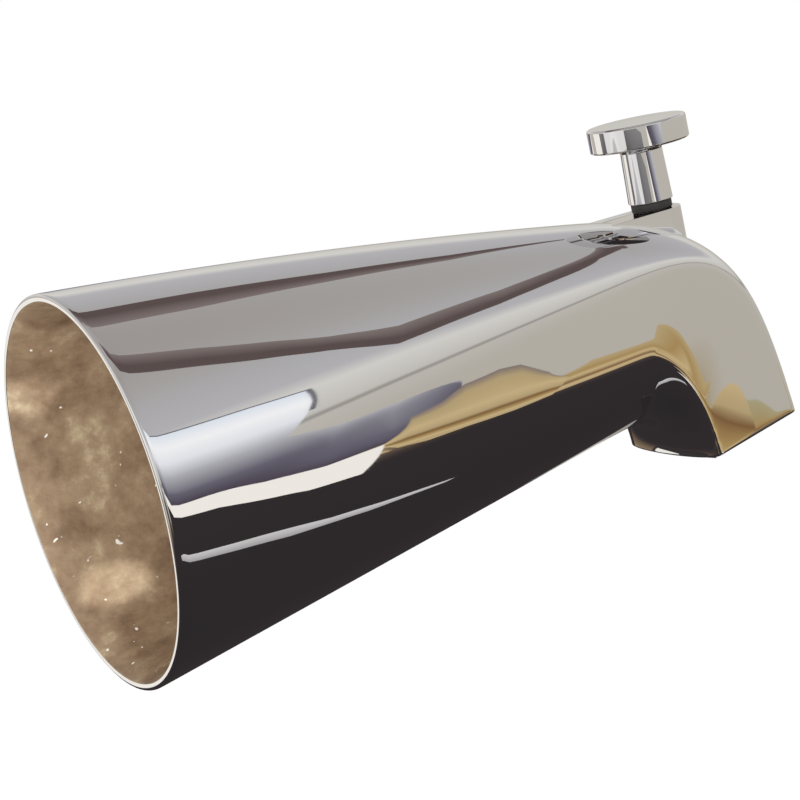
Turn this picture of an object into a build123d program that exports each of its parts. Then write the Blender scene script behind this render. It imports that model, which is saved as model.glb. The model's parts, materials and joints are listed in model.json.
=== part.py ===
"""Bath spout with a pull-up diverter: a chromed hollow casting, a brass inlet bushing and a sliding gate on a knob.

Millimetres. The origin is the centre of the wall end, +X points out of the wall and +Z points up.
"""
import os

from build123d import *

# Casting, from the round wall end to the throat where the spout starts to turn down
RIM_RADIUS = 33.0
HORN_LENGTH = 100.0
WALL = 2.3
RIM_ROUNDING = 1.6
CROWN_BULGE = 1.1
THROAT_HALF_WIDTH = 16.0
THROAT_CROWN_Z = 20.0
THROAT_FLOOR_Z = -17.6
THROAT_SHOULDER_Z = 9.8
THROAT_PANEL_LOW_Z = -1.0
RIM_FLAT = 0.1

# Nose and outlet, where the casting turns down; a reach is measured along X from the throat
NOSE_CORNER_REACH = 26.0
NOSE_CORNER_Z = 15.4
NOSE_SQUARENESS = 0.85
HEEL_CORNER_REACH = 9.0
HEEL_CORNER_Z = -16.5
HEEL_SQUARENESS = 0.6
OUTLET_REAR_REACH = 9.0
OUTLET_REAR_Z = -25.4
OUTLET_FRONT_REACH = 31.0
OUTLET_FRONT_Z = -21.4
OUTLET_HALF_WIDTH = 13.9
OUTLET_FRONT_ROUND = 2.5
OUTLET_REAR_ROUND = 2.0
NOSE_STEPS = 5
LEAST_ROUND = 0.8

# Boss on the crown that carries the lift rod
BOSS_REACH = 16.0
BOSS_RADIUS = 5.1
BOSS_TOP_Z = 18.8
BOSS_TAIL = 26.0
BOSS_EDGE = 0.4

# Inlet hub and partition inside the nose, with the gate's seat on its front face
SEAT_REACH = 12.0
PARTITION_THICKNESS = 7.0
SEAT_RADIUS = 7.0
HUB_WALL = 2.0
HUB_LENGTH = 22.0
GUIDE_RAIL_WIDTH = 2.2
GUIDE_RAIL_DEPTH = 3.2
GUIDE_RAIL_LOW_Z = -16.0
GUIDE_RAIL_HIGH_Z = 8.0

# Brass inlet bushing for half-inch pipe thread
THREAD_RADIUS = 9.13
BUSHING_WALL = 1.8
BUSHING_LENGTH = 16.0
BUSHING_CHAMFER = 0.8

# Diverter: rod, knob, seals and gate
ROD_RADIUS = 2.0
LIFT = 15.0
RUNNING_GAP = 0.05
SEAT_GAP = 0.3
GUIDE_WALL = 1.5
GUIDE_LENGTH = 7.5
O_RING_SECTION = 0.5
O_RING_POCKET_DEPTH = 2.0
WASHER_RADIUS = 3.7
WASHER_THICKNESS = 1.6
WASHER_ROUNDING = 0.3
STEM_TOP_RADIUS = 3.8
STEM_FOOT_RADIUS = 4.05
STEM_HEIGHT = 10.2
HEAD_RADIUS = 9.0
HEAD_THICKNESS = 4.4
HEAD_CHAMFER = 0.6
HEAD_UNDER_FILLET = 0.8
KNOB_SOCKET_DEPTH = 8.0
GATE_HALF_WIDTH = 8.8
GATE_HEIGHT = 17.6
GATE_THICKNESS = 2.8
GATE_CORNER = 3.0
GATE_BOSS_RADIUS = 3.2
GATE_BOSS_HEIGHT = 7.0
GATE_RECESS = 0.5
SEAL_RADIUS = 8.2
SEAL_THICKNESS = 1.3
ROD_THREAD_DEPTH = 6.0

# Places along X that follow from the sizes above
NOSE_CORNER_X = HORN_LENGTH + NOSE_CORNER_REACH
HEEL_CORNER_X = HORN_LENGTH + HEEL_CORNER_REACH
OUTLET_REAR_X = HORN_LENGTH + OUTLET_REAR_REACH
OUTLET_FRONT_X = HORN_LENGTH + OUTLET_FRONT_REACH
BOSS_X = HORN_LENGTH + BOSS_REACH
SEAT_X = HORN_LENGTH + SEAT_REACH


# Sections of the casting

def bezier(start, corner, end, squareness, share):
    """A point of the curve that leaves start towards corner and arrives at end from it."""
    near_start = start + (corner - start) * squareness
    near_end = end + (corner - end) * squareness
    left = 1 - share
    return (
        start * left**3
        + near_start * (3 * left**2 * share)
        + near_end * (3 * left * share**2)
        + end * share**3
    )


def section(floor, crown, half_width, crown_round, floor_round, inset):
    """One cross-section: flat sides between two half ellipses, drawn from a floor point to a crown point."""
    up = (crown - floor).normalized()
    floor = floor + up * inset
    crown = crown - up * inset
    height = (crown - floor).length
    half_width = half_width - inset
    crown_round = max(crown_round - inset, LEAST_ROUND)
    floor_round = max(floor_round - inset, LEAST_ROUND)
    across = Vector(0, 1, 0)
    plane = Plane(origin=floor, x_dir=across, z_dir=across.cross(up))
    panel_low, panel_high = floor_round, height - crown_round
    outline = [
        Line((half_width, panel_low), (half_width, panel_high)),
        EllipticalCenterArc((0, panel_high), half_width, crown_round, start_angle=0, arc_size=180),
        Line((-half_width, panel_high), (-half_width, panel_low)),
        EllipticalCenterArc((0, panel_low), half_width, floor_round, start_angle=180, arc_size=180),
    ]
    return plane * make_face(outline)


def horn_section(x, inset=0.0):
    """The casting's section at a distance x from the wall, round at the wall and flat-sided at the throat."""
    share = x / HORN_LENGTH
    crown_z = RIM_RADIUS + (THROAT_CROWN_Z - RIM_RADIUS) * share + 4 * CROWN_BULGE * share * (1 - share)
    floor_z = -RIM_RADIUS + (THROAT_FLOOR_Z + RIM_RADIUS) * share
    half_width = RIM_RADIUS + (THROAT_HALF_WIDTH - RIM_RADIUS) * share
    shoulder_z = RIM_FLAT / 2 + (THROAT_SHOULDER_Z - RIM_FLAT / 2) * max(share, 0)
    panel_low_z = -RIM_FLAT / 2 + (THROAT_PANEL_LOW_Z + RIM_FLAT / 2) * max(share, 0)
    floor, crown = Vector(x, 0, floor_z), Vector(x, 0, crown_z)
    return section(floor, crown, half_width, crown_z - shoulder_z, panel_low_z - floor_z, inset)


def nose_section(share, inset=0.0, past_outlet=0.0):
    """The casting's section from the throat (share 0) to the outlet (share 1)."""
    floor = bezier(
        Vector(HORN_LENGTH, 0, THROAT_FLOOR_Z),
        Vector(HEEL_CORNER_X, 0, HEEL_CORNER_Z),
        Vector(OUTLET_REAR_X, 0, OUTLET_REAR_Z),
        HEEL_SQUARENESS,
        share,
    )
    crown = bezier(
        Vector(HORN_LENGTH, 0, THROAT_CROWN_Z),
        Vector(NOSE_CORNER_X, 0, NOSE_CORNER_Z),
        Vector(OUTLET_FRONT_X, 0, OUTLET_FRONT_Z),
        NOSE_SQUARENESS,
        share,
    )
    down = (crown - floor).normalized().cross(Vector(0, -1, 0))
    floor, crown = floor + down * past_outlet, crown + down * past_outlet
    left = (1 - share) ** 2
    half_width = OUTLET_HALF_WIDTH + (THROAT_HALF_WIDTH - OUTLET_HALF_WIDTH) * (1 - share) ** 3
    crown_round = OUTLET_FRONT_ROUND + (THROAT_CROWN_Z - THROAT_SHOULDER_Z - OUTLET_FRONT_ROUND) * left
    floor_round = OUTLET_REAR_ROUND + (THROAT_PANEL_LOW_Z - THROAT_FLOOR_Z - OUTLET_REAR_ROUND) * left
    return section(floor, crown, half_width, crown_round, floor_round, inset)


def casting_form(inset=0.0, overrun=0.0):
    """The casting's outer form, or its hollow when inset by the wall and run past both ends."""
    horn = [horn_section(x, inset) for x in (-overrun, HORN_LENGTH / 2, HORN_LENGTH)]
    nose = [nose_section(i / NOSE_STEPS, inset) for i in range(NOSE_STEPS)]
    nose.append(nose_section(1.0, inset, overrun))
    return loft(horn) + loft(nose)


# Pieces

def along_x(radius, start, end, z=0.0):
    """A cylinder on an axis parallel to X."""
    return Plane.YZ.offset(start) * Pos(0, z, 0) * extrude(Circle(radius), end - start)


def upright(radius, low, high, x=BOSS_X):
    """A cylinder on the rod's axis."""
    return Pos(x, 0, low) * extrude(Circle(radius), high - low)


BUSHING_RADIUS = THREAD_RADIUS + BUSHING_WALL
HUB_RADIUS = BUSHING_RADIUS + HUB_WALL
GUIDE_RADIUS = ROD_RADIUS + GUIDE_WALL
PARTITION_X = SEAT_X - PARTITION_THICKNESS
BUSHING_START_X = PARTITION_X + 2.0 - BUSHING_LENGTH
BUSHING_END_X = BUSHING_START_X + BUSHING_LENGTH
GUIDE_LOW_Z = BOSS_TOP_Z - GUIDE_LENGTH
WASHER_TOP_Z = BOSS_TOP_Z + WASHER_THICKNESS
HEAD_LOW_Z = WASHER_TOP_Z + STEM_HEIGHT
HEAD_TOP_Z = HEAD_LOW_Z + HEAD_THICKNESS
SEAL_X = SEAT_X + SEAT_GAP
GATE_X = SEAL_X + SEAL_THICKNESS - GATE_RECESS
GATE_CENTRE_Z = -LIFT
GATE_TOP_Z = GATE_CENTRE_Z + GATE_HEIGHT / 2
ROD_TOP_Z = WASHER_TOP_Z + KNOB_SOCKET_DEPTH - SEAT_GAP
ROD_FOOT_Z = GATE_TOP_Z - ROD_THREAD_DEPTH


def make_spout_body():
    outer = casting_form()
    hollow = casting_form(WALL, overrun=1.0)
    rim = outer.edges().filter_by(GeomType.LINE, reverse=True).filter_by_position(Axis.X, -0.01, 0.01)
    outer = fillet(rim, RIM_ROUNDING)
    tail = Pos(BOSS_X - BOSS_TAIL / 2, 0, 0) * Rectangle(BOSS_TAIL, 2 * BOSS_RADIUS)
    plan = Pos(BOSS_X, 0, 0) * Circle(BOSS_RADIUS) + tail
    boss = Pos(0, 0, THROAT_PANEL_LOW_Z) * extrude(plan, BOSS_TOP_Z - THROAT_PANEL_LOW_Z)
    boss = chamfer(boss.faces().sort_by(Axis.Z)[-1].edges(), BOSS_EDGE)
    inside_depth = SEAT_X - PARTITION_X
    slab = Pos(PARTITION_X + inside_depth / 2, 0, 0) * Box(inside_depth, 4 * RIM_RADIUS, 4 * RIM_RADIUS)
    hub = along_x(HUB_RADIUS, SEAT_X - HUB_LENGTH, SEAT_X) & outer
    rails = make_guide_rails() & hollow
    body = outer - hollow + (boss - hollow) + (hollow & slab) + hub + rails
    body -= along_x(BUSHING_RADIUS, SEAT_X - HUB_LENGTH - 1, BUSHING_END_X)
    body -= along_x(SEAT_RADIUS, BUSHING_END_X, SEAT_X + 1)
    body -= upright(GUIDE_RADIUS, THROAT_PANEL_LOW_Z, BOSS_TOP_Z + 1) & upright(
        GUIDE_RADIUS, GUIDE_LOW_Z - WALL, BOSS_TOP_Z + 1
    )
    return body


def make_guide_rails():
    """Two ribs on the seat face that keep the gate upright."""
    height = GUIDE_RAIL_HIGH_Z - GUIDE_RAIL_LOW_Z
    offset = GATE_HALF_WIDTH + SEAT_GAP + GUIDE_RAIL_WIDTH / 2
    rail = Box(GUIDE_RAIL_DEPTH, GUIDE_RAIL_WIDTH, height)
    middle = (SEAT_X + GUIDE_RAIL_DEPTH / 2, (GUIDE_RAIL_HIGH_Z + GUIDE_RAIL_LOW_Z) / 2)
    return Pos(middle[0], offset, middle[1]) * rail + Pos(middle[0], -offset, middle[1]) * rail


def make_inlet_bushing():
    ring = along_x(BUSHING_RADIUS, BUSHING_START_X, BUSHING_END_X)
    ring -= along_x(THREAD_RADIUS, BUSHING_START_X, BUSHING_END_X)
    mouth = ring.edges().filter_by(GeomType.CIRCLE).filter_by_position(
        Axis.X, BUSHING_START_X - 0.1, BUSHING_START_X + 0.1
    ).sort_by(SortBy.RADIUS)[0]
    return chamfer(mouth, BUSHING_CHAMFER)


def make_guide_bushing():
    sleeve = upright(GUIDE_RADIUS, GUIDE_LOW_Z, BOSS_TOP_Z)
    sleeve -= upright(ROD_RADIUS + RUNNING_GAP, GUIDE_LOW_Z, BOSS_TOP_Z)
    pocket = ROD_RADIUS + 2 * RUNNING_GAP + 2 * O_RING_SECTION
    return sleeve - upright(pocket, BOSS_TOP_Z - O_RING_POCKET_DEPTH, BOSS_TOP_Z)


def make_rod_o_ring():
    middle = ROD_RADIUS + RUNNING_GAP + O_RING_SECTION
    return Pos(BOSS_X, 0, BOSS_TOP_Z - O_RING_POCKET_DEPTH + O_RING_SECTION) * Torus(middle, O_RING_SECTION)


def make_knob_washer():
    ring = upright(WASHER_RADIUS, BOSS_TOP_Z, WASHER_TOP_Z)
    low = ring.edges().filter_by(GeomType.CIRCLE).sort_by(Axis.Z)[0]
    ring = fillet(low, WASHER_ROUNDING)
    return ring - upright(ROD_RADIUS, BOSS_TOP_Z, WASHER_TOP_Z)


def make_lift_knob():
    profile = Polyline(
        (0, WASHER_TOP_Z),
        (STEM_FOOT_RADIUS, WASHER_TOP_Z),
        (STEM_TOP_RADIUS, HEAD_LOW_Z),
        (HEAD_RADIUS, HEAD_LOW_Z),
        (HEAD_RADIUS, HEAD_TOP_Z - HEAD_CHAMFER),
        (HEAD_RADIUS - HEAD_CHAMFER, HEAD_TOP_Z),
        (0, HEAD_TOP_Z),
        close=True,
    )
    half = Plane.XZ * make_face(profile)
    knob = Pos(BOSS_X, 0, 0) * revolve(half, Axis.Z)
    knob -= upright(ROD_RADIUS, WASHER_TOP_Z, WASHER_TOP_Z + KNOB_SOCKET_DEPTH)
    neck = knob.edges().filter_by(GeomType.CIRCLE).filter_by_position(
        Axis.Z, HEAD_LOW_Z - 0.1, HEAD_LOW_Z + 0.1
    ).sort_by(SortBy.RADIUS)[0]
    return fillet(neck, HEAD_UNDER_FILLET)


def make_lift_rod():
    return upright(ROD_RADIUS, ROD_FOOT_Z, ROD_TOP_Z)


def make_gate():
    plate = Plane.YZ.offset(GATE_X) * Pos(0, GATE_CENTRE_Z, 0) * extrude(
        RectangleRounded(2 * GATE_HALF_WIDTH, GATE_HEIGHT, GATE_CORNER), GATE_THICKNESS
    )
    boss = upright(GATE_BOSS_RADIUS, GATE_TOP_Z - GATE_BOSS_HEIGHT, GATE_TOP_Z)
    slab_low = GATE_X + GATE_THICKNESS / 2
    keep = Pos(slab_low + BOSS_X / 2, 0, GATE_CENTRE_Z) * Box(BOSS_X, 4 * GATE_HALF_WIDTH, 2 * GATE_HEIGHT)
    gate = plate + (boss & keep)
    gate -= upright(ROD_RADIUS, ROD_FOOT_Z, GATE_TOP_Z)
    return gate - along_x(SEAL_RADIUS, SEAL_X, GATE_X + GATE_RECESS, GATE_CENTRE_Z)


def make_gate_seal():
    return along_x(SEAL_RADIUS, SEAL_X, SEAL_X + SEAL_THICKNESS, GATE_CENTRE_Z)


PIECES = {
    "spout_body": make_spout_body,
    "inlet_bushing": make_inlet_bushing,
    "guide_bushing": make_guide_bushing,
    "rod_o_ring": make_rod_o_ring,
    "knob_washer": make_knob_washer,
    "lift_knob": make_lift_knob,
    "lift_rod": make_lift_rod,
    "gate": make_gate,
    "gate_seal": make_gate_seal,
}

os.makedirs("parts", exist_ok=True)
for name, make in PIECES.items():
    export_step(make(), f"parts/{name}.step")
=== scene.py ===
# %% [markdown]
# # A bath spout with a pull-up diverter
#
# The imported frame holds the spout's solids in metres: +X leaves the wall, +Z is up, and the origin is the
# centre of the open wall end. This lesson dresses them: a mirror skin over a raw casting, a turned knob,
# and brass, rubber and plastic for the small pieces.

import json
import math

import bmesh
import bpy
from mathutils import Matrix, Vector
from mathutils.bvhtree import BVHTree


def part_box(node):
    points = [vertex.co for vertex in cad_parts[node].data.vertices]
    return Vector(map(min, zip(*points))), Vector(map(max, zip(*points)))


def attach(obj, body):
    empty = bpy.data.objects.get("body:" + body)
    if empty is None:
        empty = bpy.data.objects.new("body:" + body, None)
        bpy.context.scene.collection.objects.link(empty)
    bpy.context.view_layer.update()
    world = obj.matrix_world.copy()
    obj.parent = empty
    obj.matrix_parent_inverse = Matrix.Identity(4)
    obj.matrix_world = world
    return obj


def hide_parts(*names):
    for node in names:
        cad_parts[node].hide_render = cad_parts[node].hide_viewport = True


MM = 0.001
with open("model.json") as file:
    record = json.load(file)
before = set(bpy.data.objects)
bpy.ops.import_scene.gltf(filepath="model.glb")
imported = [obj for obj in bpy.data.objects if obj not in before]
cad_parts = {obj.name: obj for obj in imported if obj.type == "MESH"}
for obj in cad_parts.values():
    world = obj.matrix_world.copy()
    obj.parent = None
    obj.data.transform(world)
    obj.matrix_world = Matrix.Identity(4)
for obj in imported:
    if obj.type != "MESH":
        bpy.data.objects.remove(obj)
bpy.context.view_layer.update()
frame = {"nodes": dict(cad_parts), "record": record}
print("nodes:", ", ".join(sorted(frame["nodes"])))

# %% [markdown]
# The photograph looks at the near side from behind the wall end and a little above, with a long lens and
# the camera rolled. A camera is a position and three axes, so the roll is simply a turn of its right and
# up axes.

# %% Camera
CAMERA_AIM = Vector((65, 0, 0)) * MM
CAMERA_DISTANCE = 410 * MM
CAMERA_AZIMUTH = math.radians(-27.57)
CAMERA_ELEVATION = math.radians(10.49)
CAMERA_ROLL = math.radians(12.06)
PHOTO_SIZE = 800
FOCAL_PIXELS = 2387
AXIS_PIXEL_X, AXIS_PIXEL_Y = 433.2, 385.5
SENSOR_WIDTH = 36
CLIP_START = 10 * MM


def place_camera():
    level = math.cos(CAMERA_ELEVATION)
    back = Vector(
        (math.sin(CAMERA_AZIMUTH) * level, -math.cos(CAMERA_AZIMUTH) * level, math.sin(CAMERA_ELEVATION))
    )
    level_right = Vector((math.cos(CAMERA_AZIMUTH), math.sin(CAMERA_AZIMUTH), 0))
    level_up = back.cross(level_right)
    right = level_right * math.cos(CAMERA_ROLL) - level_up * math.sin(CAMERA_ROLL)
    up = level_right * math.sin(CAMERA_ROLL) + level_up * math.cos(CAMERA_ROLL)
    data = bpy.data.cameras.new("camera")
    data.sensor_width = SENSOR_WIDTH
    data.lens = FOCAL_PIXELS * SENSOR_WIDTH / PHOTO_SIZE
    data.shift_x = (PHOTO_SIZE / 2 - AXIS_PIXEL_X) / PHOTO_SIZE
    data.shift_y = (AXIS_PIXEL_Y - PHOTO_SIZE / 2) / PHOTO_SIZE
    data.clip_start = CLIP_START
    camera = bpy.data.objects.new("camera", data)
    axes = Matrix((right, up, back)).transposed().to_4x4()
    camera.matrix_world = Matrix.Translation(CAMERA_AIM + back * CAMERA_DISTANCE) @ axes
    bpy.context.scene.collection.objects.link(camera)
    bpy.context.scene.camera = camera
    return camera


camera = place_camera()
print("camera at", [round(c, 3) for c in camera.location], "lens", round(camera.data.lens, 1))

# %% [markdown]
# Every material is a small node tree. These helpers keep the trees short: one adds a node with its
# settings, one makes a material with its Principled shader, and the others shape a grey value into
# colours, numbers or bumps.

# %% Node helpers
def add_node(tree, kind, **settings):
    node = tree.nodes.new(kind)
    for name, value in settings.items():
        setattr(node, name, value)
    return node


def new_material(name):
    material = bpy.data.materials.new(name)
    material.use_nodes = True
    tree = material.node_tree
    return material, tree, tree.nodes["Principled BSDF"]


def ramp(tree, factor, stops):
    """Colours a value from 0 to 1 by stops, each a position and a colour."""
    node = add_node(tree, "ShaderNodeValToRGB")
    elements = node.color_ramp.elements
    while len(elements) < len(stops):
        elements.new(0.5)
    for element, (position, colour) in zip(elements, stops):
        element.position = position
        element.color = (*colour, 1)
    tree.links.new(factor, node.inputs["Fac"])
    return node.outputs["Color"]


def spread(tree, factor, low, high, to_low, to_high):
    """Stretches the values from low to high over those from to_low to to_high."""
    node = add_node(tree, "ShaderNodeMapRange")
    limits = {"From Min": low, "From Max": high, "To Min": to_low, "To Max": to_high}
    for socket, value in limits.items():
        node.inputs[socket].default_value = value
    tree.links.new(factor, node.inputs["Value"])
    return node.outputs["Result"]


def bump(tree, shader, height, strength, distance):
    node = add_node(tree, "ShaderNodeBump")
    node.inputs["Strength"].default_value = strength
    node.inputs["Distance"].default_value = distance
    tree.links.new(height, node.inputs["Height"])
    tree.links.new(node.outputs["Normal"], shader.inputs["Normal"])


print("helpers ready")

# %% [markdown]
# Cast, turned and moulded surfaces all have a grain: a soft unevenness that runs right through the piece.
# It is one shader node group on Object coordinates, built once, and each material places it with its own
# scale and stretch.

# %% Grain
GRAIN_VALUES = ("Scale", "Detail", "Roughness")


def new_group(name, inputs, outputs):
    group = bpy.data.node_groups.new(name, "ShaderNodeTree")
    for socket, kind in inputs.items():
        group.interface.new_socket(socket, in_out="INPUT", socket_type=kind)
    for socket, kind in outputs.items():
        group.interface.new_socket(socket, in_out="OUTPUT", socket_type=kind)
    return group, add_node(group, "NodeGroupInput"), add_node(group, "NodeGroupOutput")


def place_group(tree, group, **values):
    node = add_node(tree, "ShaderNodeGroup", node_tree=group)
    for socket, value in values.items():
        node.inputs[socket].default_value = value
    return node


def make_grain_group():
    inputs = {name: "NodeSocketFloat" for name in GRAIN_VALUES} | {"Stretch": "NodeSocketVector"}
    group, given, result = new_group("grain", inputs, {"Grain": "NodeSocketFloat"})
    place = add_node(group, "ShaderNodeTexCoord")
    mapping = add_node(group, "ShaderNodeMapping")
    texture = add_node(group, "ShaderNodeTexNoise")
    group.links.new(place.outputs["Object"], mapping.inputs["Vector"])
    group.links.new(given.outputs["Stretch"], mapping.inputs["Scale"])
    group.links.new(mapping.outputs["Vector"], texture.inputs["Vector"])
    for name in GRAIN_VALUES:
        group.links.new(given.outputs[name], texture.inputs[name])
    group.links.new(texture.outputs["Fac"], result.inputs["Grain"])
    return group


def grain(tree, scale, detail=4.0, roughness=0.5, stretch=(1, 1, 1)):
    values = dict(Scale=scale, Detail=detail, Roughness=roughness, Stretch=stretch)
    return place_group(tree, grain_group, **values).outputs["Grain"]


grain_group = make_grain_group()
print("made group", grain_group.name)

# %% [markdown]
# Bright chrome has almost no colour of its own. What shows is what it mirrors, so the finish is a smooth
# metal with a very low roughness, fine wiping marks, and a faint unevenness of the casting under the
# plating.

# %% Chrome
def make_chrome():
    material, tree, shader = new_material("bright_chrome")
    shader.inputs["Base Color"].default_value = (0.86, 0.86, 0.87, 1)
    shader.inputs["Metallic"].default_value = 1.0
    smears = grain(tree, scale=90, detail=6, stretch=(0.3, 1, 1))
    roughness = spread(tree, smears, low=0.35, high=0.75, to_low=0.01, to_high=0.035)
    tree.links.new(roughness, shader.inputs["Roughness"])
    bump(tree, shader, grain(tree, scale=45, detail=1), strength=0.12, distance=0.4 * MM)
    return material


chrome = make_chrome()
print("made", chrome.name)

# %% [markdown]
# Inside, the casting was never plated. It is a raw golden brown, blotchy, with paler patches where the
# metal flowed, a slightly rough skin, and a few white specks.

# %% Raw casting
BLOTCH_STOPS = [
    (0.30, (0.14, 0.085, 0.048)),
    (0.46, (0.25, 0.165, 0.100)),
    (0.58, (0.33, 0.235, 0.145)),
    (0.70, (0.52, 0.420, 0.270)),
]
SPECK_STOPS = [(0.735, (0, 0, 0)), (0.76, (1, 1, 1))]
SPECK_COLOUR = (0.80, 0.76, 0.68, 1)


def make_raw_casting():
    material, tree, shader = new_material("raw_casting")
    shader.inputs["Metallic"].default_value = 0.25
    blotches = ramp(tree, grain(tree, scale=110, detail=9, roughness=0.68), BLOTCH_STOPS)
    specks = ramp(tree, grain(tree, scale=620, detail=1), SPECK_STOPS)
    mix = add_node(tree, "ShaderNodeMix", data_type="RGBA")
    mix.inputs["B"].default_value = SPECK_COLOUR
    tree.links.new(specks, mix.inputs["Factor"])
    tree.links.new(blotches, mix.inputs["A"])
    tree.links.new(mix.outputs["Result"], shader.inputs["Base Color"])
    roughness = spread(tree, grain(tree, scale=140), low=0.3, high=0.7, to_low=0.32, to_high=0.55)
    tree.links.new(roughness, shader.inputs["Roughness"])
    bump(tree, shader, grain(tree, scale=420, detail=5), strength=0.35, distance=0.25 * MM)
    return material


raw_casting = make_raw_casting()
print("made", raw_casting.name)

# %% [markdown]
# The small pieces are turned brass, moulded plastic and black rubber. All three are mottled: tarnish on
# the brass, cloudy flow in the plastic and dust on the rubber make some spots darker and smoother, others
# paler and duller. That is a second group, and each material gives it two colours and two roughnesses. A
# fine tooth, the mark of the lathe or the mould, is a bump.

# %% Brass, plastic and rubber
def make_mottle_group():
    inputs = {name: "NodeSocketFloat" for name in ("Scale", "Detail", "Low", "High", "Smooth", "Dull")}
    inputs |= {"Dark": "NodeSocketColor", "Pale": "NodeSocketColor"}
    outputs = {"Colour": "NodeSocketColor", "Roughness": "NodeSocketFloat"}
    group, given, result = new_group("mottle", inputs, outputs)
    spots = place_group(group, grain_group, Roughness=0.5, Stretch=(1, 1, 1))
    share = add_node(group, "ShaderNodeMapRange")
    dullness = add_node(group, "ShaderNodeMapRange")
    mix = add_node(group, "ShaderNodeMix", data_type="RGBA")
    for name in ("Scale", "Detail"):
        group.links.new(given.outputs[name], spots.inputs[name])
    group.links.new(spots.outputs["Grain"], share.inputs["Value"])
    group.links.new(given.outputs["Low"], share.inputs["From Min"])
    group.links.new(given.outputs["High"], share.inputs["From Max"])
    group.links.new(share.outputs["Result"], dullness.inputs["Value"])
    group.links.new(given.outputs["Smooth"], dullness.inputs["To Min"])
    group.links.new(given.outputs["Dull"], dullness.inputs["To Max"])
    group.links.new(share.outputs["Result"], mix.inputs["Factor"])
    group.links.new(given.outputs["Dark"], mix.inputs["A"])
    group.links.new(given.outputs["Pale"], mix.inputs["B"])
    group.links.new(mix.outputs["Result"], result.inputs["Colour"])
    group.links.new(dullness.outputs["Result"], result.inputs["Roughness"])
    return group


def make_mottled(name, mottle, metallic, tooth_scale, strength, depth, stretch=(1, 1, 1)):
    material, tree, shader = new_material(name)
    shader.inputs["Metallic"].default_value = metallic
    mottled = place_group(tree, mottle_group, **mottle)
    tree.links.new(mottled.outputs["Colour"], shader.inputs["Base Color"])
    tree.links.new(mottled.outputs["Roughness"], shader.inputs["Roughness"])
    tooth = grain(tree, scale=tooth_scale, detail=2, stretch=stretch)
    bump(tree, shader, tooth, strength, depth * MM)
    return material


mottle_group = make_mottle_group()
TARNISH = dict(Scale=120, Detail=5, Low=0.35, High=0.65, Smooth=0.22, Dull=0.42)
TARNISH |= dict(Dark=(0.42, 0.27, 0.10, 1), Pale=(0.66, 0.47, 0.21, 1))
CLOUDING = dict(Scale=150, Detail=3, Low=0.3, High=0.7, Smooth=0.38, Dull=0.5)
CLOUDING |= dict(Dark=(0.66, 0.63, 0.55, 1), Pale=(0.74, 0.71, 0.64, 1))
DUST = dict(Scale=260, Detail=5, Low=0.35, High=0.75, Smooth=0.45, Dull=0.65)
DUST |= dict(Dark=(0.012, 0.011, 0.011, 1), Pale=(0.035, 0.032, 0.030, 1))
brass = make_mottled(
    "turned_brass", TARNISH, metallic=1.0, tooth_scale=900, strength=0.15, depth=0.1, stretch=(3, 1, 1)
)
plastic = make_mottled(
    "moulded_plastic", CLOUDING, metallic=0.0, tooth_scale=1500, strength=0.1, depth=0.05
)
rubber = make_mottled("black_rubber", DUST, metallic=0.0, tooth_scale=1200, strength=0.15, depth=0.08)
print("made", brass.name, plastic.name, rubber.name, "with group", mottle_group.name)

# %% [markdown]
# Each solid that keeps its own mesh takes the finish of its record slot.

# %% Finish the solids
SLOT_FINISH = {"chrome": chrome, "brass": brass, "plastic": plastic, "rubber": rubber}
for row in frame["record"]["subparts"]:
    mesh = frame["nodes"][row["node"]].data
    mesh.materials.clear()
    mesh.materials.append(SLOT_FINISH[row["material_slot"]])

# %% [markdown]
# The casting's outer form runs from a round wall end to a flat-sided throat, then turns down to the
# outlet. Each cross-section is two flat sides between two half ellipses. A mirror shows every facet, so
# the skin is a fine net of rings: a circle is made at each station, its points are pushed out to the
# section's outline, and neighbouring rings are bridged.

# %% Sections of the casting
RIM_RADIUS = 33.0
HORN_LENGTH = 100.0
WALL = 2.3
CROWN_BULGE = 1.1
THROAT_HALF_WIDTH, OUTLET_HALF_WIDTH = 16.0, 13.9
THROAT_CROWN, THROAT_FLOOR = Vector((HORN_LENGTH, 20.0)), Vector((HORN_LENGTH, -17.6))
THROAT_SHOULDER_Z, THROAT_PANEL_LOW_Z = 9.8, -1.0
NOSE_CORNER, NOSE_SQUARENESS = Vector((126.0, 15.4)), 0.85
HEEL_CORNER, HEEL_SQUARENESS = Vector((109.0, -16.5)), 0.6
OUTLET_FRONT, OUTLET_REAR = Vector((131.0, -21.4)), Vector((109.0, -25.4))
OUTLET_FRONT_ROUND, OUTLET_REAR_ROUND = 2.5, 2.0
LEAST_ACROSS = 1e-9


def blend(start, end, share):
    return start + (end - start) * share


def turned_curve(start, corner, end, squareness, share):
    """A point of the curve that leaves start towards a corner and arrives at end from it."""
    near_start, near_end = blend(start, corner, squareness), blend(end, corner, squareness)
    left = 1 - share
    return (
        start * left**3
        + near_start * (3 * left**2 * share)
        + near_end * (3 * left * share**2)
        + end * share**3
    )


def horn_section(share):
    """A section of the horn, from the wall end at 0 to the throat at 1."""
    x = HORN_LENGTH * share
    crown_z = blend(RIM_RADIUS, THROAT_CROWN.y, share) + 4 * CROWN_BULGE * share * (1 - share)
    floor_z = blend(-RIM_RADIUS, THROAT_FLOOR.y, share)
    half_width = blend(RIM_RADIUS, THROAT_HALF_WIDTH, share)
    crown_round = crown_z - THROAT_SHOULDER_Z * share
    floor_round = THROAT_PANEL_LOW_Z * share - floor_z
    return Vector((x, floor_z)), Vector((x, crown_z)), half_width, crown_round, floor_round


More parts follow.
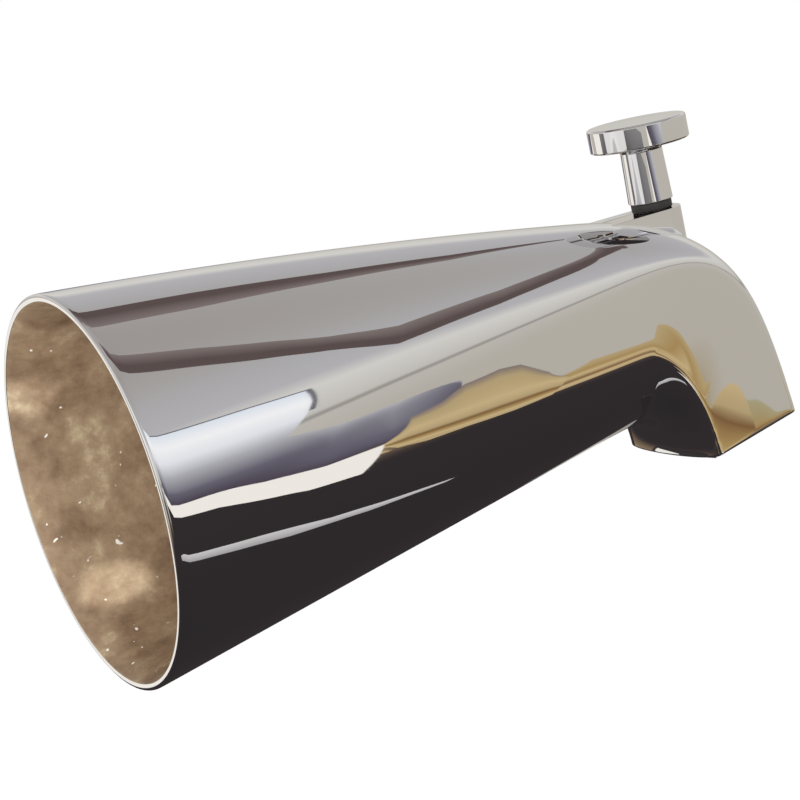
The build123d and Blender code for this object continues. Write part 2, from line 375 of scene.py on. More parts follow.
def nose_section(share):
    """A section of the turned-down nose, from the throat at 0 to the outlet at 1."""
    floor = turned_curve(THROAT_FLOOR, HEEL_CORNER, OUTLET_REAR, HEEL_SQUARENESS, share)
    crown = turned_curve(THROAT_CROWN, NOSE_CORNER, OUTLET_FRONT, NOSE_SQUARENESS, share)
    half_width = blend(OUTLET_HALF_WIDTH, THROAT_HALF_WIDTH, (1 - share) ** 3)
    left = (1 - share) ** 2
    crown_round = blend(OUTLET_FRONT_ROUND, THROAT_CROWN.y - THROAT_SHOULDER_Z, left)
    floor_round = blend(OUTLET_REAR_ROUND, THROAT_PANEL_LOW_Z - THROAT_FLOOR.y, left)
    return floor, crown, half_width, crown_round, floor_round


def ellipse_reach(across, up, half_width, round_height, flat_end):
    """How far a ray from the section's middle goes until it meets the half ellipse past the flat side."""
    a = (across / half_width) ** 2 + (up / round_height) ** 2
    b = -2 * up * flat_end / round_height**2
    c = (flat_end / round_height) ** 2 - 1
    return (-b + math.sqrt(max(b * b - 4 * a * c, 0))) / (2 * a)


def section_point(section, angle):
    """The outline's point at an angle around the section's middle, from 0 at the far side."""
    floor, crown, half_width, crown_round, floor_round = section
    height = (crown - floor).length
    middle = height / 2
    across, up = math.cos(angle), math.sin(angle)
    flat_top, flat_low = height - crown_round - middle, middle - floor_round
    side_reach = half_width / max(abs(across), LEAST_ACROSS)
    if -flat_low <= up * side_reach <= flat_top:
        reach = side_reach
    elif up > 0:
        reach = ellipse_reach(across, up, half_width, crown_round, flat_top)
    else:
        reach = ellipse_reach(across, -up, half_width, floor_round, flat_low)
    spine = floor + (crown - floor) * ((middle + up * reach) / height)
    return Vector((spine.x, across * reach, spine.y)) * MM


print("throat is", 2 * THROAT_HALF_WIDTH, "mm wide")

# %% [markdown]
# The rings follow one another from the wall end to the outlet. A second set, smaller by the wall's
# thickness, makes the inner face, and the two are joined at both ends into one closed shell. The inner
# faces take the raw finish, and the rim and the outlet's lip are rounded with bevels.

# %% The casting
RING_POINTS = 144
HORN_STATIONS = 26
NOSE_STATIONS = 44
RIM_ROUNDING, RIM_SEGMENTS = 0.6, 4
LIP_ROUNDING, LIP_SEGMENTS = 0.25, 2
LIP_FLARE = 1.032
LEAST_ROUND = 0.8


def add_ring(bm, section):
    """A ring of points along a section's outline."""
    ring = bmesh.ops.create_circle(bm, segments=RING_POINTS, radius=1)["verts"]
    for vert in ring:
        vert.co = section_point(section, math.atan2(vert.co.y, vert.co.x))
    return ring


def edges_within(verts):
    """The edges with both ends among these points."""
    return [e for e in {e for v in verts for e in v.link_edges} if all(v in verts for v in e.verts)]


def round_edges(bm, edges, offset, segments):
    bmesh.ops.bevel(
        bm,
        geom=edges,
        offset=offset * MM,
        affect="EDGES",
        segments=segments,
        profile=0.5,
        material=-1,
        clamp_overlap=True,
    )


def inset_section(section):
    """The same section, smaller by the wall all round."""
    floor, crown, half_width, crown_round, floor_round = section
    wall = (crown - floor).normalized() * WALL
    crown_round = max(crown_round - WALL, LEAST_ROUND)
    floor_round = max(floor_round - WALL, LEAST_ROUND)
    return floor + wall, crown - wall, half_width - WALL, crown_round, floor_round


def make_casting():
    bm = bmesh.new()
    sections = [horn_section(i / HORN_STATIONS) for i in range(HORN_STATIONS)]
    sections += [nose_section(i / NOSE_STATIONS) for i in range(NOSE_STATIONS + 1)]
    outer = [set(add_ring(bm, section)) for section in sections]
    inner = [set(add_ring(bm, inset_section(section))) for section in sections]
    for vert in inner[0]:
        vert.co.yz *= LIP_FLARE
    # Two rings of one plane may be bridged with a twist, so the inner end rings step back meanwhile.
    step_back = [(list(inner[0]), Vector((1, 0, 0)) * MM), (list(inner[-1]), Vector((0, 0, 1)) * MM)]
    for verts, step in step_back:
        bmesh.ops.translate(bm, vec=step, verts=verts)
    ends = [(outer[0], inner[0]), (outer[-1], inner[-1])]
    for before, after in [*zip(outer, outer[1:]), *zip(inner, inner[1:]), *ends]:
        bmesh.ops.bridge_loops(bm, edges=edges_within(before) + edges_within(after))
    for verts, step in step_back:
        bmesh.ops.translate(bm, vec=-step, verts=verts)
    bmesh.ops.recalc_face_normals(bm, faces=bm.faces)
    inside = set().union(*inner)
    for face in bm.faces:
        face.material_index = int(all(v in inside for v in face.verts))
        face.smooth = True
    skin = BVHTree.FromBMesh(bm)
    lip_edges = edges_within(outer[-1]) + edges_within(inner[-1]) + edges_within(inner[0])
    round_edges(bm, edges_within(outer[0]), RIM_ROUNDING, RIM_SEGMENTS)
    round_edges(bm, [e for e in lip_edges if e.is_valid], LIP_ROUNDING, LIP_SEGMENTS)
    for vert in bm.verts:
        vert.co.x = max(vert.co.x, 0)
    return bm, skin


casting_mesh, skin = make_casting()
print("the net of the casting has", len(casting_mesh.faces), "faces")

# %% [markdown]
# Every new piece is finished in the same way. Its mesh becomes an object at the origin, it rides on the
# body that it moves with, and the solid that it stands for is hidden. The casting's net is smoothed once
# more with a Subdivision Surface. The other pieces have flats next to rounded corners, so Weighted Normal
# keeps their flats flat.

# %% Finish the casting
def new_object(name, bm, materials):
    mesh = bpy.data.meshes.new(name)
    bm.to_mesh(mesh)
    bm.free()
    for material in materials:
        mesh.materials.append(material)
    obj = bpy.data.objects.new(name, mesh)
    bpy.context.scene.collection.objects.link(obj)
    return obj


def finish_piece(name, bm, body, materials, stands_for, levels=0):
    piece = new_object(name, bm, materials)
    if levels:
        modifier = piece.modifiers.new("smooth skin", "SUBSURF")
        modifier.levels = modifier.render_levels = levels
    else:
        piece.modifiers.new("flat faces stay flat", "WEIGHTED_NORMAL")
    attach(piece, body)
    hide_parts(stands_for)
    print(name, "has", len(piece.data.polygons), "faces")


finish_piece("casting", casting_mesh, "spout", [chrome, raw_casting], "spout_body", levels=1)

# %% [markdown]
# The boss is a short upright wall that grows out of the crown and carries the lift rod. Its plan is a
# circle with a straight tail that dives under the crown, and its top is open where the rod's guide sits.
# It is made by extruding rings of edges. On the outside they go down in four steps, and each point asks
# the skin how high it is there, so the foot flares into the crown as a cast fillet does. The bore goes
# down too, and an underside hidden in the casting's wall closes the shape.

# %% Heights over the skin
BOSS_X, BOSS_RADIUS, BOSS_TOP_Z, BOSS_TAIL = 116.0, 5.1, 18.8, 14.0
GUIDE_RADIUS = 3.5
BORE_BELOW_SKIN, LEAST_DEPTH, LEAST_STEP = 1.2, 0.3, 0.05
LOOK_FROM_Z = 60 * MM


def skin_height(x, y):
    hit = skin.ray_cast(Vector((x, y, LOOK_FROM_Z)), Vector((0, 0, -1)))[0]
    return hit.z if hit else -LOOK_FROM_Z


def away_from_spine(point):
    """The way straight out of the boss's long plan at a point."""
    spine_x = min(max(point.x, (BOSS_X - BOSS_TAIL) * MM), BOSS_X * MM)
    return Vector((point.x - spine_x, point.y, 0)).normalized()


def in_bore(point):
    """The place on the bore's edge that lies the same way out as a point of the plan."""
    place = Vector((BOSS_X, 0, 0)) * MM + away_from_spine(point) * GUIDE_RADIUS * MM
    return place.x, place.y


def below_skin(x, y):
    """A place in the thickness of the casting's wall, under the boss's top."""
    height = min(skin_height(x, y) - BORE_BELOW_SKIN * MM, (BOSS_TOP_Z - LEAST_DEPTH) * MM)
    return Vector((x, y, height))


def foot_place(point, outwards, above):
    """A step outwards, at a height above the skin there and always lower than the point."""
    place = point + away_from_spine(point) * outwards * MM
    height = skin_height(place.x, place.y) + above * MM
    return Vector((place.x, place.y, min(height, point.z - LEAST_STEP * MM)))


print("the crown is", round(skin_height(BOSS_X * MM, 0) / MM, 1), "mm high at the rod")

# %% [markdown]
# With these places at hand, the boss starts as a circle. Its rear half is moved back to make the tail,
# and its rings of edges are extruded from place to place. Points that meet are merged, and the top edge
# is rounded.

# %% The boss
BOSS_POINTS = 96
BOSS_EDGE, BOSS_EDGE_SEGMENTS = 0.45, 3
BOSS_FOOT = ((0.0, 1.0), (0.1, 0.5), (0.35, 0.15), (0.9, -0.12))
UNDERSIDE_CUTS = 5
MERGE_DISTANCE = 0.001 * MM


def extrude_ring(bm, edges, place):
    """Extrudes a ring of edges, puts each new vertex where place says and gives the new edges."""
    step = bmesh.ops.extrude_edge_only(bm, edges=edges)["geom"]
    for vert in (g for g in step if isinstance(g, bmesh.types.BMVert)):
        vert.co = place(vert.co)
    return [g for g in step if isinstance(g, bmesh.types.BMEdge)]


def make_boss():
    bm = bmesh.new()
    plan = bmesh.ops.create_circle(bm, segments=BOSS_POINTS, radius=BOSS_RADIUS * MM)["verts"]
    for vert in plan:
        if vert.co.x < 0:
            vert.co.x -= BOSS_TAIL * MM
    bmesh.ops.translate(bm, vec=Vector((BOSS_X, 0, BOSS_TOP_Z)) * MM, verts=plan)
    top_edges = bm.edges[:]
    bore_edges = extrude_ring(bm, top_edges, lambda p: Vector((*in_bore(p), p.z)))
    extrude_ring(bm, bore_edges, lambda p: below_skin(p.x, p.y))
    edges = top_edges
    for outwards, above in BOSS_FOOT:
        edges = extrude_ring(bm, edges, lambda p: foot_place(p, outwards, above))
    bore_foot = extrude_ring(bm, edges, lambda p: below_skin(*in_bore(p)))
    across = {e for edge in bore_foot for vert in edge.verts for e in vert.link_edges} - set(bore_foot)
    underside = bmesh.ops.subdivide_edges(bm, edges=list(across), cuts=UNDERSIDE_CUTS, use_grid_fill=True)
    for vert in (g for g in underside["geom_inner"] if isinstance(g, bmesh.types.BMVert)):
        vert.co = below_skin(vert.co.x, vert.co.y)
    bmesh.ops.remove_doubles(bm, verts=bm.verts[:], dist=MERGE_DISTANCE)
    bmesh.ops.recalc_face_normals(bm, faces=bm.faces)
    round_edges(bm, top_edges, BOSS_EDGE, BOSS_EDGE_SEGMENTS)
    bmesh.ops.dissolve_degenerate(bm, edges=bm.edges[:], dist=MERGE_DISTANCE)
    for face in bm.faces:
        face.smooth = True
    return bm


finish_piece("boss", make_boss(), "spout", [chrome], "spout_body")

# %% [markdown]
# The knob and its washer are turned shapes, so half a profile is drawn and spun a full turn about the
# rod. The sharp corners are then rounded: a mirror finish shows a bright line along each one.

# %% Knob and washer
HEAD_RADIUS, HEAD_TOP_Z, HEAD_LOW_Z = 9.0, 35.0, 30.6
TOP_CORNER_IN, TOP_CORNER_DOWN = 0.35, 0.3
LOW_CORNER_IN, LOW_CORNER_UP = 0.3, 0.25
STEM_TOP_RADIUS, STEM_FOOT_RADIUS, STEM_FOOT_Z, STEM_FLARE = 3.8, 4.05, 20.4, 0.9
KNOB_ROUNDING, KNOB_SEGMENTS = 0.15, 2
WASHER_RADIUS, WASHER_ROUNDING, WASHER_SEGMENTS = 3.7, 0.3, 3
ROD_RADIUS, ROD_SOCKET = 2.0, 7.0
TURN_STEPS = 96
SHARP = math.radians(25)


def turn(profile, centre, axis, rounding, segments):
    """Spins a profile in mm a full turn about an axis and rounds its corners."""
    bm = bmesh.new()
    verts = [bm.verts.new(point * MM) for point in profile]
    edges = [bm.edges.new(pair) for pair in zip(verts, verts[1:])]
    bmesh.ops.spin(
        bm,
        geom=verts + edges,
        cent=centre * MM,
        axis=axis,
        angle=2 * math.pi,
        steps=TURN_STEPS,
        use_merge=True,
    )
    bmesh.ops.remove_doubles(bm, verts=bm.verts[:], dist=MERGE_DISTANCE)
    bmesh.ops.recalc_face_normals(bm, faces=bm.faces[:])
    corners = [e for e in bm.edges if len(e.link_faces) == 2 and e.calc_face_angle() > SHARP]
    round_edges(bm, corners, rounding, segments)
    for face in bm.faces:
        face.smooth = True
    return bm


def turn_about_rod(corners, rounding, segments):
    profile = [Vector((BOSS_X + radius, 0, height)) for radius, height in corners]
    return turn(profile, Vector((BOSS_X, 0, 0)), (0, 0, 1), rounding, segments)


knob_profile = [
    (0, HEAD_TOP_Z),
    (HEAD_RADIUS - TOP_CORNER_IN, HEAD_TOP_Z),
    (HEAD_RADIUS, HEAD_TOP_Z - TOP_CORNER_DOWN),
    (HEAD_RADIUS, HEAD_LOW_Z + LOW_CORNER_UP),
    (HEAD_RADIUS - LOW_CORNER_IN, HEAD_LOW_Z),
    (STEM_TOP_RADIUS + STEM_FLARE, HEAD_LOW_Z),
    (STEM_TOP_RADIUS, HEAD_LOW_Z - STEM_FLARE),
    (STEM_FOOT_RADIUS, STEM_FOOT_Z),
    (ROD_RADIUS, STEM_FOOT_Z),
    (ROD_RADIUS, STEM_FOOT_Z + ROD_SOCKET),
    (0, STEM_FOOT_Z + ROD_SOCKET),
]
washer_profile = [
    (ROD_RADIUS, STEM_FOOT_Z),
    (WASHER_RADIUS, STEM_FOOT_Z),
    (WASHER_RADIUS, BOSS_TOP_Z),
    (ROD_RADIUS, BOSS_TOP_Z),
    (ROD_RADIUS, STEM_FOOT_Z),
]
knob_mesh = turn_about_rod(knob_profile, KNOB_ROUNDING, KNOB_SEGMENTS)
washer_mesh = turn_about_rod(washer_profile, WASHER_ROUNDING, WASHER_SEGMENTS)
finish_piece("knob", knob_mesh, "diverter", [chrome], "lift_knob")
finish_piece("washer", washer_mesh, "diverter", [rubber], "knob_washer")

# %% [markdown]
# The hub that holds the inlet bushing and the partition with the gate's seat are parts of the same
# casting, deep inside it. They are copied from the solid. Faces near the skin are dropped, since the
# casting above has them, and so are faces with no skin over them, which are the boss's. Of what is left,
# the largest patch of faces is kept.

# %% Hub and partition
NEAR_SKIN = 0.6 * MM
HUB_START_X = 88 * MM


def patches(bm):
    """Groups of faces that hang together by their edges."""
    left = set(bm.faces)
    while left:
        patch, front = set(), {left.pop()}
        while front:
            patch |= front
            front = {near for face in front for edge in face.edges for near in edge.link_faces} - patch
        left -= patch
        yield patch


def make_hub():
    bm = bmesh.new()
    bm.from_mesh(frame["nodes"]["spout_body"].data)
    bmesh.ops.remove_doubles(bm, verts=bm.verts[:], dist=MERGE_DISTANCE)
    spare = []
    for face in bm.faces:
        middle = face.calc_center_median()
        roofed = skin.ray_cast(middle, Vector((0, 0, 1)))[0]
        if middle.x < HUB_START_X or not roofed or skin.find_nearest(middle)[3] < NEAR_SKIN:
            spare.append(face)
    bmesh.ops.delete(bm, geom=spare, context="FACES")
    kept = max(patches(bm), key=len)
    bmesh.ops.delete(bm, geom=[face for face in bm.faces if face not in kept], context="FACES")
    return bm


finish_piece("hub", make_hub(), "spout", [raw_casting], "spout_body")

# %% [markdown]
# The brass bushing in the hub screws onto the supply pipe, so its bore has a pipe thread. The sleeve is a
# profile spun a full turn about the inlet. The thread's ridge is a triangle spun several turns while it
# moves along, just as a cutter makes a real one.

# %% Threaded bushing
THREAD_PITCH = 25.4 / 14
CREST_RADIUS, ROOT_RADIUS, SLEEVE_RADIUS = 9.13, 10.2, 10.93
SLEEVE_CHAMFER, SLEEVE_ROUNDING, SLEEVE_SEGMENTS = 0.4, 0.08, 1
RIDGE_TURNS, RIDGE_STEPS = 7, 48
RIDGE_WIDTH, RIDGE_SINK = 0.9 * THREAD_PITCH, 0.05
INLET_CENTRE, INLET_AXIS = Vector((0, 0, 0)), Vector((1, 0, 0))


def make_bushing():
    low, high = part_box("inlet_bushing")
    start, end = low[0] / MM, high[0] / MM
    sleeve = [
        (start, ROOT_RADIUS + SLEEVE_CHAMFER),
        (start, SLEEVE_RADIUS),
        (end, SLEEVE_RADIUS),
        (end, ROOT_RADIUS),
        (start + SLEEVE_CHAMFER, ROOT_RADIUS),
        (start, ROOT_RADIUS + SLEEVE_CHAMFER),
    ]
    profile = [Vector((x, 0, radius)) for x, radius in sleeve]
    bm = turn(profile, INLET_CENTRE, INLET_AXIS, SLEEVE_ROUNDING, SLEEVE_SEGMENTS)
    first = start + THREAD_PITCH / 2
    foot = ROOT_RADIUS + RIDGE_SINK
    ridge = [(first, foot), (first + RIDGE_WIDTH / 2, CREST_RADIUS), (first + RIDGE_WIDTH, foot)]
    verts = [bm.verts.new(Vector((x, 0, radius)) * MM) for x, radius in ridge]
    edges = [bm.edges.new((verts[i - 1], verts[i])) for i in range(len(verts))]
    last = bmesh.ops.spin(
        bm,
        geom=verts + edges,
        cent=INLET_CENTRE,
        axis=INLET_AXIS,
        dvec=INLET_AXIS * THREAD_PITCH * MM / RIDGE_STEPS,
        angle=2 * math.pi * RIDGE_TURNS,
        steps=RIDGE_STEPS * RIDGE_TURNS,
    )["geom_last"]
    bmesh.ops.contextual_create(bm, geom=edges)
    bmesh.ops.contextual_create(bm, geom=[g for g in last if isinstance(g, bmesh.types.BMEdge)])
    bmesh.ops.recalc_face_normals(bm, faces=bm.faces[:])
    return bm


finish_piece("threaded_bushing", make_bushing(), "spout", [brass], "inlet_bushing")

# %% [markdown]
# A mirror needs a room to show. A tent stands around the spout that only reflections can see: dark below,
# beige at the horizon and grey above, in bands by the angle over the horizon in degrees. It lights
# nothing, throws no shadow and hides nothing.

# %% Reflection tent
TENT_RADIUS = 1.5
TENT_SEGMENTS, TENT_RINGS = 64, 32
TENT_BANDS = [
    (-90, (0.026, 0.023, 0.025)),
    (-24, (0.034, 0.028, 0.030)),
    (-21.5, (0.060, 0.045, 0.040)),
    (-17, (0.22, 0.16, 0.10)),
    (-14.8, (0.45, 0.39, 0.29)),
    (-13.4, (0.50, 0.465, 0.40)),
    (2.2, (0.56, 0.53, 0.48)),
    (3.4, (0.36, 0.34, 0.31)),
    (4.4, (0.36, 0.34, 0.31)),
    (5.8, (0.60, 0.58, 0.54)),
    (20, (0.72, 0.70, 0.66)),
    (27, (0.50, 0.49, 0.50)),
    (40, (0.46, 0.45, 0.455)),
    (50, (0.42, 0.40, 0.385)),
    (66, (0.37, 0.34, 0.325)),
    (74, (0.44, 0.42, 0.41)),
    (90, (0.46, 0.44, 0.43)),
]


def show_to_mirrors_only(obj):
    obj.visible_camera = False
    obj.visible_diffuse = False
    obj.visible_transmission = False
    obj.visible_volume_scatter = False
    obj.visible_shadow = False


def glow_material(name):
    material = bpy.data.materials.new(name)
    material.use_nodes = True
    tree = material.node_tree
    tree.nodes.clear()
    output = add_node(tree, "ShaderNodeOutputMaterial")
    glow = add_node(tree, "ShaderNodeEmission")
    tree.links.new(glow.outputs["Emission"], output.inputs["Surface"])
    return material, tree, glow


def make_tent():
    material, tree, glow = glow_material("tent")
    place = add_node(tree, "ShaderNodeTexCoord")
    direction = add_node(tree, "ShaderNodeVectorMath", operation="NORMALIZE")
    parts = add_node(tree, "ShaderNodeSeparateXYZ")
    height = add_node(tree, "ShaderNodeMath", operation="ARCSINE")
    tree.links.new(place.outputs["Object"], direction.inputs[0])
    tree.links.new(direction.outputs["Vector"], parts.inputs["Vector"])
    tree.links.new(parts.outputs["Z"], height.inputs[0])
    quarter = math.pi / 2
    share = spread(tree, height.outputs["Value"], -quarter, quarter, 0, 1)
    colour = ramp(tree, share, [((degrees + 90) / 180, colour) for degrees, colour in TENT_BANDS])
    tree.links.new(colour, glow.inputs["Color"])
    bm = bmesh.new()
    bmesh.ops.create_uvsphere(bm, u_segments=TENT_SEGMENTS, v_segments=TENT_RINGS, radius=TENT_RADIUS)
    tent = new_object("tent", bm, [material])
    tent.location = CAMERA_AIM
    show_to_mirrors_only(tent)


make_tent()
print("tent of", TENT_RADIUS, "m")

# %% [markdown]
# Cards stand inside the tent, as a photographer sets them: a bright window over a dark shelf with a pale
# edge, a brown beam around the ceiling, a pale strip low down and a golden cloth. A card is a few lines
# of points in mm with a colour each, bridged into a sheet, so the colour blends from line to line. First
# come the colours, and the outlines of the cards that have many bends.

# %% Colours and outlines of the cards
FOLD_Y, NEAR_Y, CLOTH_Y = -100, -235, -600
FRAME_Y = NEAR_Y - 0.5
RIM_CARD_Y, BACK_WALL_Y, SIDE_WINDOW_X = 280, -300, -600
BEAM_Z, STRIP_Z = 150, -200
FRAME_GREY = (0.13, 0.13, 0.15)
PALE = (0.97, 0.93, 0.86)
BROWN, SOFT_BROWN = (0.115, 0.085, 0.082), (0.23, 0.19, 0.18)
TAN, GOLD = (0.50, 0.38, 0.20), (0.42, 0.28, 0.11)
UMBER, STRAW = (0.22, 0.12, 0.05), (0.62, 0.47, 0.25)
OLIVE = (0.42, 0.38, 0.23)
DARK = (0.034, 0.028, 0.030)


def upright(y, *points):
    """A line of x and z in the upright plane at y."""
    return [(x, y, z) for x, z in points]


def level(z, *points):
    """A line of x and y in the level plane at z."""
    return [(x, y, z) for x, y in points]


def between(first, last, share):
    return [Vector(a).lerp(Vector(b), share) for a, b in zip(first, last)]


cloth_top = upright(
    CLOTH_Y,
    *((625, -214), (665, -230), (700, -233), (716, -233)),
    *((742, -228), (764, -218), (795, -174), (1000, -200)),
)
cloth_foot = upright(
    CLOTH_Y,
    *((627, -222), (670, -300), (700, -342), (720, -352)),
    *((750, -364), (775, -369), (805, -372), (1010, -400)),
)
fold_top = upright(
    FOLD_Y,
    *((117, -29), (125, -20), (135, -19.5), (143, -18)),
    *((155, -18), (162, -19), (171, -23), (178.5, -31)),
)
fold_foot = upright(
    FOLD_Y,
    *((118, -33), (124, -41), (135, -45.5), (149, -51)),
    *((158, -54.5), (168, -57.5), (175, -57.5), (181, -57)),
)
far_beam_inside = level(BEAM_Z, (-60, 32), (95, 31), (136, 41), (177, 55), (231, 100))
far_beam_outside = level(BEAM_Z, (-60, 80), (104, 83), (144, 78), (185, 82), (235, 108))
near_beam_inside = level(
    BEAM_Z, (20, 10), (100, -50), (158, -97), (195, -121), (212, -84), (216, -38), (222, 30)
)
near_beam_outside = level(
    BEAM_Z, (40, -33), (111, -85), (180, -138), (255, -205), (256, -153), (228, -38), (228, 30)
)
print("the cloth is", cloth_top[-1][0] - cloth_top[0][0], "mm long")

# %% [markdown]
# The shelf, the cloth, the side window and the back wall get a twin on the far side, so the spout looks
# as good from there.

# %% Cards on both sides
CARDS = {
    "shelf": [
        (upright(NEAR_Y, (60, 75), (205, 0), (232, -33), (260, -46), (290, -54)), (0.46, 0.46, 0.49)),
        (upright(NEAR_Y, (60, 45), (193, -35), (232, -58), (258, -62), (290, -55)), (0.15, 0.14, 0.18)),
        (upright(NEAR_Y, (60, 20), (187, -53), (233, -80), (256, -79), (289, -57)), (0.075, 0.062, 0.085)),
    ],
    "shelf_edge": [
        (upright(NEAR_Y, (60, 20), (187, -53), (233, -80), (257, -81)), PALE),
        (upright(NEAR_Y, (60, -2), (190, -81), (240, -138), (270, -158)), PALE),
    ],
    "shelf_front": [
        (upright(NEAR_Y, (60, -2), (190, -81), (240, -138)), DARK),
        (upright(NEAR_Y, (60, -75), (190, -145), (232, -165)), DARK),
    ],
    "cloth": [
        (cloth_top, TAN),
        (between(cloth_top, cloth_foot, 0.2), GOLD),
        (between(cloth_top, cloth_foot, 0.4), STRAW),
        (between(cloth_top, cloth_foot, 0.65), UMBER),
        (between(cloth_top, cloth_foot, 0.8), STRAW),
        (cloth_foot, TAN),
    ],
    "cloth_fold": [
        (fold_top, SOFT_BROWN),
        (between(fold_top, fold_foot, 0.05), TAN),
        (between(fold_top, fold_foot, 0.2), STRAW),
        (between(fold_top, fold_foot, 0.48), TAN),
        (between(fold_top, fold_foot, 0.6), UMBER),
        (between(fold_top, fold_foot, 0.74), GOLD),
        (between(fold_top, fold_foot, 0.85), STRAW),
        (fold_foot, TAN),
    ],
    "low_cloth": [
        (upright(CLOTH_Y, (440, -178), (535, -177), (575, -210), (628, -226)), OLIVE),
        (upright(CLOTH_Y, (440, -188), (535, -189), (575, -220), (630, -240)), GOLD),
        (upright(CLOTH_Y, (440, -200), (535, -204), (580, -235), (645, -262)), UMBER),
        (upright(CLOTH_Y, (440, -212), (540, -216), (600, -262), (660, -300)), STRAW),
    ],
    "side_window": [
        ([(SIDE_WINDOW_X, -60, -60), (SIDE_WINDOW_X, 400, -60)], (0.80, 0.78, 0.76)),
        ([(SIDE_WINDOW_X, -60, 260), (SIDE_WINDOW_X, 400, 260)], (0.98, 0.96, 0.95)),
    ],
    "back_wall": [
        (upright(BACK_WALL_Y, (-30, 5), (-500, 20)), (0.26, 0.25, 0.25)),
        (upright(BACK_WALL_Y, (-30, -30), (-500, -60)), (0.075, 0.068, 0.070)),
        (upright(BACK_WALL_Y, (-30, -150), (-500, -250)), (0.035, 0.030, 0.032)),
    ],
}
print("on both sides:", ", ".join(CARDS))

# %% [markdown]
# The window, the beams, the strip, the table and the card beside the rim stand only once. The near beam
# passes over the crown, so its twin would cross it.

# %% Cards on one side
FRONT_CARDS = {
    "rim_card": [
        (upright(RIM_CARD_Y, (-30, 20), (-220, 20)), PALE),
        (upright(RIM_CARD_Y, (-30, -130), (-220, -130)), PALE),
    ],
    "low_strip": [
        (level(STRIP_Z, (197, -260), (193, -178), (191, -138), (200, -100), (216, -72)), (0.40, 0.38, 0.39)),
        (level(STRIP_Z, (217, -260), (210, -178), (206, -138), (212, -100), (220, -72)), (0.66, 0.64, 0.63)),
    ],
    "window_frame": [
        (upright(FRAME_Y, (60, 192), (228.5, 112)), FRAME_GREY),
        (upright(FRAME_Y, (60, 130), (217.5, 45)), FRAME_GREY),
    ],
    "window": [
        (upright(NEAR_Y, (60, 188), (225, 109.5)), (0.80, 0.85, 0.93)),
        (upright(NEAR_Y, (60, 140), (219, 70)), (1.00, 1.00, 1.00)),
        (upright(NEAR_Y, (60, 104), (212, 33)), (0.84, 0.86, 0.90)),
        (upright(NEAR_Y, (60, 75), (205, 0)), (0.46, 0.46, 0.49)),
    ],
    "far_beam": [
        (far_beam_inside, SOFT_BROWN),
        (between(far_beam_inside, far_beam_outside, 0.6), BROWN),
        (far_beam_outside, BROWN),
    ],
    "near_beam": [
        (near_beam_inside, SOFT_BROWN),
        (between(near_beam_inside, near_beam_outside, 0.6), BROWN),
        (near_beam_outside, BROWN),
    ],
    "far_table": [
        (level(STRIP_Z, (290, 100), (480, 100)), (0.30, 0.29, 0.28)),
        (level(STRIP_Z, (290, 320), (480, 320)), (0.40, 0.39, 0.37)),
    ],
}
print("on one side:", ", ".join(FRONT_CARDS))

# %% [markdown]
# Each card is bridged line by line, and every point carries its line's colour in an attribute that the
# glowing material reads. A side of -1 mirrors the card to the far side.

# %% Make the cards
def make_card(name, lines, side):
    bm = bmesh.new()
    shade = bm.verts.layers.float_color.new("shade")
    before = None
    for points, colour in lines:
        verts = [bm.verts.new(Vector((x, y * side, z)) * MM) for x, y, z in points]
        for vert in verts:
            vert[shade] = (*colour, 1)
        edges = [bm.edges.new(pair) for pair in zip(verts, verts[1:])]
        if before:
            bmesh.ops.bridge_loops(bm, edges=before + edges)
        before = edges
    material, tree, glow = glow_material(name)
    source = add_node(tree, "ShaderNodeAttribute", attribute_name="shade")
    tree.links.new(source.outputs["Color"], glow.inputs["Color"])
    show_to_mirrors_only(new_object(name, bm, [material]))


for name, lines in CARDS.items():
    make_card(f"{name}_near", lines, side=1)
    make_card(f"{name}_far", lines, side=-1)
for name, lines in FRONT_CARDS.items():
    make_card(name, lines, side=1)
print("made", 2 * len(CARDS) + len(FRONT_CARDS), "cards")

# %% [markdown]
# The floor is plain and white, well below the spout, as under a fitting on a wall, and an even white sky
# lights it. The chrome doesn't mirror the floor, because the tent and the cards are its room.

# %% Floor and sky
FLOOR_Z = -0.3
FLOOR_SIZE = 40
WHITE = (1, 1, 1, 1)


def make_floor():
    material, _, shader = new_material("floor")
    shader.inputs["Base Color"].default_value = WHITE
    shader.inputs["Roughness"].default_value = 1.0
    shader.inputs["Specular IOR Level"].default_value = 0.0
    bm = bmesh.new()
    bmesh.ops.create_grid(bm, x_segments=1, y_segments=1, size=FLOOR_SIZE)
    bmesh.ops.translate(bm, vec=(0, 0, FLOOR_Z), verts=bm.verts[:])
    floor = new_object("floor", bm, [material])
    floor.visible_glossy = False


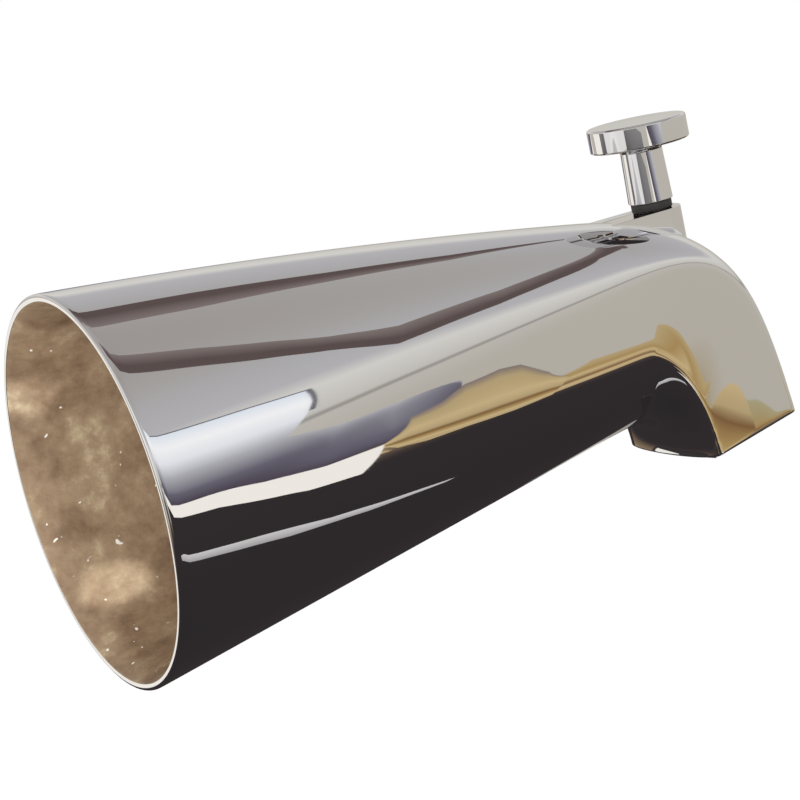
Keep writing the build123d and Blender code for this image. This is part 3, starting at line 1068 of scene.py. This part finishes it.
def make_sky():
    world = bpy.data.worlds.new("sky")
    world.use_nodes = True
    background = world.node_tree.nodes["Background"]
    background.inputs["Color"].default_value = WHITE
    background.inputs["Strength"].default_value = 1.0
    bpy.context.scene.world = world


make_floor()
make_sky()
bpy.context.scene.view_settings.view_transform = "Standard"
print("floor at", FLOOR_Z, "m")

# %% [markdown]
# A soft lamp by the camera's shoulder looks a little way into the open end, and two thin beams of
# daylight fall on the raw casting there. A lamp shines along its own -Z, so its +Z is turned away from
# what it lights.

# %% Lamps
LAMP_TOWARDS = Vector((-0.60, -0.75, 0.14))
LAMP_DISTANCE = 0.6
LAMP_SIZE = 0.15
LAMP_WATTS = 3.5
SUN_PATCHES = (
    (Vector((8.5, 21, -20.7)), Vector((-0.86, -0.30, 0.42)), 15.0),
    (Vector((4, 27.3, 13.5)), Vector((-0.70, -0.60, -0.30)), 6.0),
)
SUN_DISTANCE = 0.4
SUN_COLOUR = (0.84, 0.93, 1.0)
SUN_CONE, SUN_BLEND = math.radians(1.4), 0.6
SUN_RADIUS = 1 * MM


def place_lamp(data, target, towards, distance):
    """Stands a lamp at a distance from its target, facing it."""
    lamp = bpy.data.objects.new(data.name, data)
    lamp.location = target + towards.normalized() * distance
    lamp.rotation_euler = towards.to_track_quat("Z", "Y").to_euler()
    lamp.visible_glossy = False
    bpy.context.scene.collection.objects.link(lamp)


def make_lamp():
    data = bpy.data.lights.new("lamp", "AREA")
    data.size = LAMP_SIZE
    data.energy = LAMP_WATTS
    place_lamp(data, Vector((0, 0, 0)), LAMP_TOWARDS, LAMP_DISTANCE)


def make_sun_patch(target, towards, watts):
    data = bpy.data.lights.new("sun_patch", "SPOT")
    data.energy = watts
    data.color = SUN_COLOUR
    data.spot_size = SUN_CONE
    data.spot_blend = SUN_BLEND
    data.shadow_soft_size = SUN_RADIUS
    place_lamp(data, target * MM, towards, SUN_DISTANCE)


make_lamp()
for target, towards, watts in SUN_PATCHES:
    make_sun_patch(target, towards, watts)
print("lamps:", 1 + len(SUN_PATCHES))
